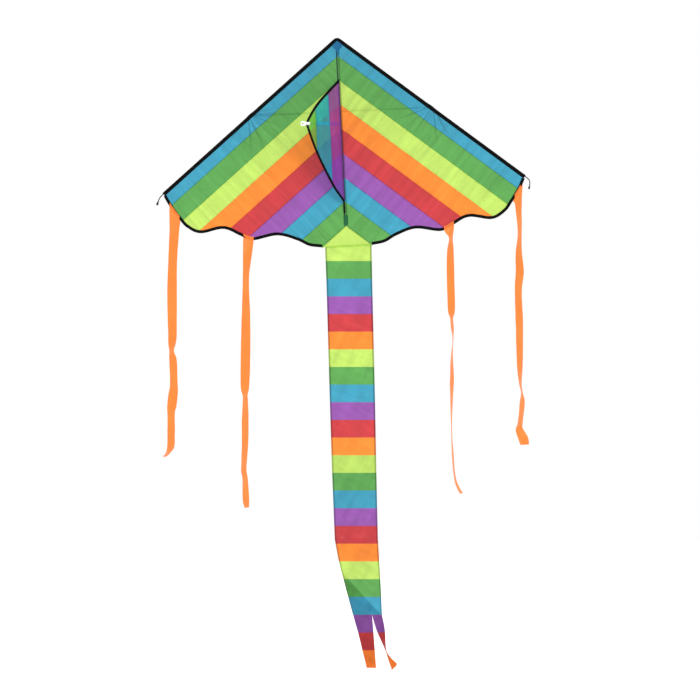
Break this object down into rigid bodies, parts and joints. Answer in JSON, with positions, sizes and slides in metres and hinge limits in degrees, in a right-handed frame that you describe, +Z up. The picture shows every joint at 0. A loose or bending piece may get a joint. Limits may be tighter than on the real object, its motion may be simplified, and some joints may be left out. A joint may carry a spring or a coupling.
{
  "type": "delta kite",
  "caption": "Triangular single-line kite of chevron cloth strips with leading edge spars, removable spreader, keel with tow ring, ribbon streamers and a long forked tail.",
  "frame": {"origin": "tip of the rounded nose, where the kite hangs", "axes": "+Z up along the spine towards the nose, +X towards the right wing seen from the keel side, -Y towards the keel side"},
  "size_m": [1.0522, 0.1191, 1.728],
  "materials": {
    "cloth_blue": "sheer plain-weave polyester",
    "cloth_green": "sheer plain-weave polyester",
    "cloth_lime": "sheer plain-weave polyester",
    "cloth_orange": "sheer plain-weave polyester",
    "cloth_red": "sheer plain-weave polyester",
    "cloth_purple": "sheer plain-weave polyester",
    "ribbon_orange": "satin ribbon",
    "black_tape": "matt woven tape",
    "white_tape": "matt woven tape",
    "patch_blue": "double cloth",
    "patch_green": "double cloth",
    "spine_cloth": "plain-weave polyester",
    "glass_fibre_rod": "pultruded glass fibre",
    "black_plastic": "moulded",
    "white_plastic": "moulded",
    "elastic_cord": "braided elastic",
    "cord_seal": "melted end"
  },
  "bodies": {
    "spine": {"spine_rod": "glass_fibre_rod", "spine_sleeve": "spine_cloth", "spine_cap": "black_plastic", "nose_binding": "black_tape", "nose_patch": "patch_blue", "foot_patch": "patch_green", "centre_gusset": "cloth_lime"},
    "wing_left": {"wing_left_edge_binding": "black_tape", "wing_left_edge_sleeve": "black_tape", "wing_left_spar": "glass_fibre_rod", "wing_left_spar_cap": "black_plastic", "wing_left_strip_1_blue": "cloth_blue", "wing_left_strip_2_green": "cloth_green", "wing_left_strip_3_lime": "cloth_lime", "wing_left_strip_4_orange": "cloth_orange", "wing_left_strip_5_red": "cloth_red", "wing_left_strip_6_purple": "cloth_purple", "wing_left_strip_7_blue": "cloth_blue", "wing_left_strip_8_green": "cloth_green", "tip_cord_left": "elastic_cord", "tip_cord_end_left": "cord_seal"},
    "wing_right": {"wing_right_edge_binding": "black_tape", "wing_right_edge_sleeve": "black_tape", "wing_right_spar": "glass_fibre_rod", "wing_right_spar_cap": "black_plastic", "wing_right_strip_1_blue": "cloth_blue", "wing_right_strip_2_green": "cloth_green", "wing_right_strip_3_lime": "cloth_lime", "wing_right_strip_4_orange": "cloth_orange", "wing_right_strip_5_red": "cloth_red", "wing_right_strip_6_purple": "cloth_purple", "wing_right_strip_7_blue": "cloth_blue", "wing_right_strip_8_green": "cloth_green", "tip_cord_right": "elastic_cord", "tip_cord_end_right": "cord_seal"},
    "spreader": {"spreader_bar": "glass_fibre_rod", "spreader_hook_left": "black_plastic", "spreader_hook_right": "black_plastic"},
    "keel": {"keel_binding": "black_tape", "keel_blue": "cloth_blue", "keel_green": "cloth_green", "keel_purple": "cloth_purple", "tow_tape": "white_tape"},
    "tow_ring": {"tow_ring": "white_plastic"},
    "tail_upper": {"tail_upper_blue": "cloth_blue", "tail_upper_green": "cloth_green", "tail_upper_lime": "cloth_lime", "tail_upper_orange": "cloth_orange", "tail_upper_purple": "cloth_purple", "tail_upper_red": "cloth_red"},
    "tail_lower": {"tail_lower_blue": "cloth_blue", "tail_lower_green": "cloth_green", "tail_lower_lime": "cloth_lime", "tail_lower_orange": "cloth_orange", "tail_lower_purple": "cloth_purple", "tail_lower_red": "cloth_red"},
    "streamer_outer_left": {"streamer_outer_left": "ribbon_orange"},
    "streamer_inner_left": {"streamer_inner_left": "ribbon_orange"},
    "streamer_inner_right": {"streamer_inner_right": "ribbon_orange"},
    "streamer_outer_right": {"streamer_outer_right": "ribbon_orange"}
  },
  "joints": [
    {"name": "wing_left_fold", "type": "hinge", "parent": "spine", "child": "wing_left", "pos_m": [-0.0059, 0, -0.25], "axis": [0, 0, -1], "range_deg": [0, 85]},
    {"name": "wing_right_fold", "type": "hinge", "parent": "spine", "child": "wing_right", "pos_m": [0.0059, 0, -0.25], "axis": [0, 0, 1], "range_deg": [0, 86]},
    {"name": "spreader_removal", "type": "slide", "parent": "spine", "child": "spreader", "axis": [0, 1, 0], "range_m": [0, 0.6]},
    {"name": "keel_swing", "type": "hinge", "parent": "spine", "child": "keel", "pos_m": [0, -0.0016, -0.28], "axis": [0, 0, 1], "range_deg": [-39, 131]},
    {"name": "tow_ring_swing", "type": "hinge", "parent": "keel", "child": "tow_ring", "pos_m": [-0.09783, -0.09607, -0.23601], "axis": [0, 0, -1], "range_deg": [-70, 70]},
    {"name": "tail_swing", "type": "hinge", "parent": "spine", "child": "tail_upper", "pos_m": [0, 0, -0.5724], "axis": [-1, 0, 0], "range_deg": [-80, 80]},
    {"name": "tail_bend", "type": "hinge", "parent": "tail_upper", "child": "tail_lower", "pos_m": [-0.01404, 0, -1.14626], "axis": [-1, 0, 0], "range_deg": [-80, 80]},
    {"name": "streamer_outer_left_swing", "type": "hinge", "parent": "wing_left", "child": "streamer_outer_left", "pos_m": [-0.4615, 0, -0.485], "axis": [-1, 0, 0], "range_deg": [-80, 80]},
    {"name": "streamer_inner_left_swing", "type": "hinge", "parent": "wing_left", "child": "streamer_inner_left", "pos_m": [-0.266, 0, -0.5441], "axis": [-1, 0, 0], "range_deg": [-80, 80]},
    {"name": "streamer_inner_right_swing", "type": "hinge", "parent": "wing_right", "child": "streamer_inner_right", "pos_m": [0.278, 0, -0.5425], "axis": [-1, 0, 0], "range_deg": [-80, 80]},
    {"name": "streamer_outer_right_swing", "type": "hinge", "parent": "wing_right", "child": "streamer_outer_right", "pos_m": [0.4765, 0, -0.468], "axis": [-1, 0, 0], "range_deg": [-80, 80]}
  ],
  "couplings": [
    {"joint": "wing_right_fold", "follows": "wing_left_fold", "ratio": 1},
    {"joint": "spreader_removal", "follows": "wing_left_fold", "m_per_rad": 0.4}
  ]
}
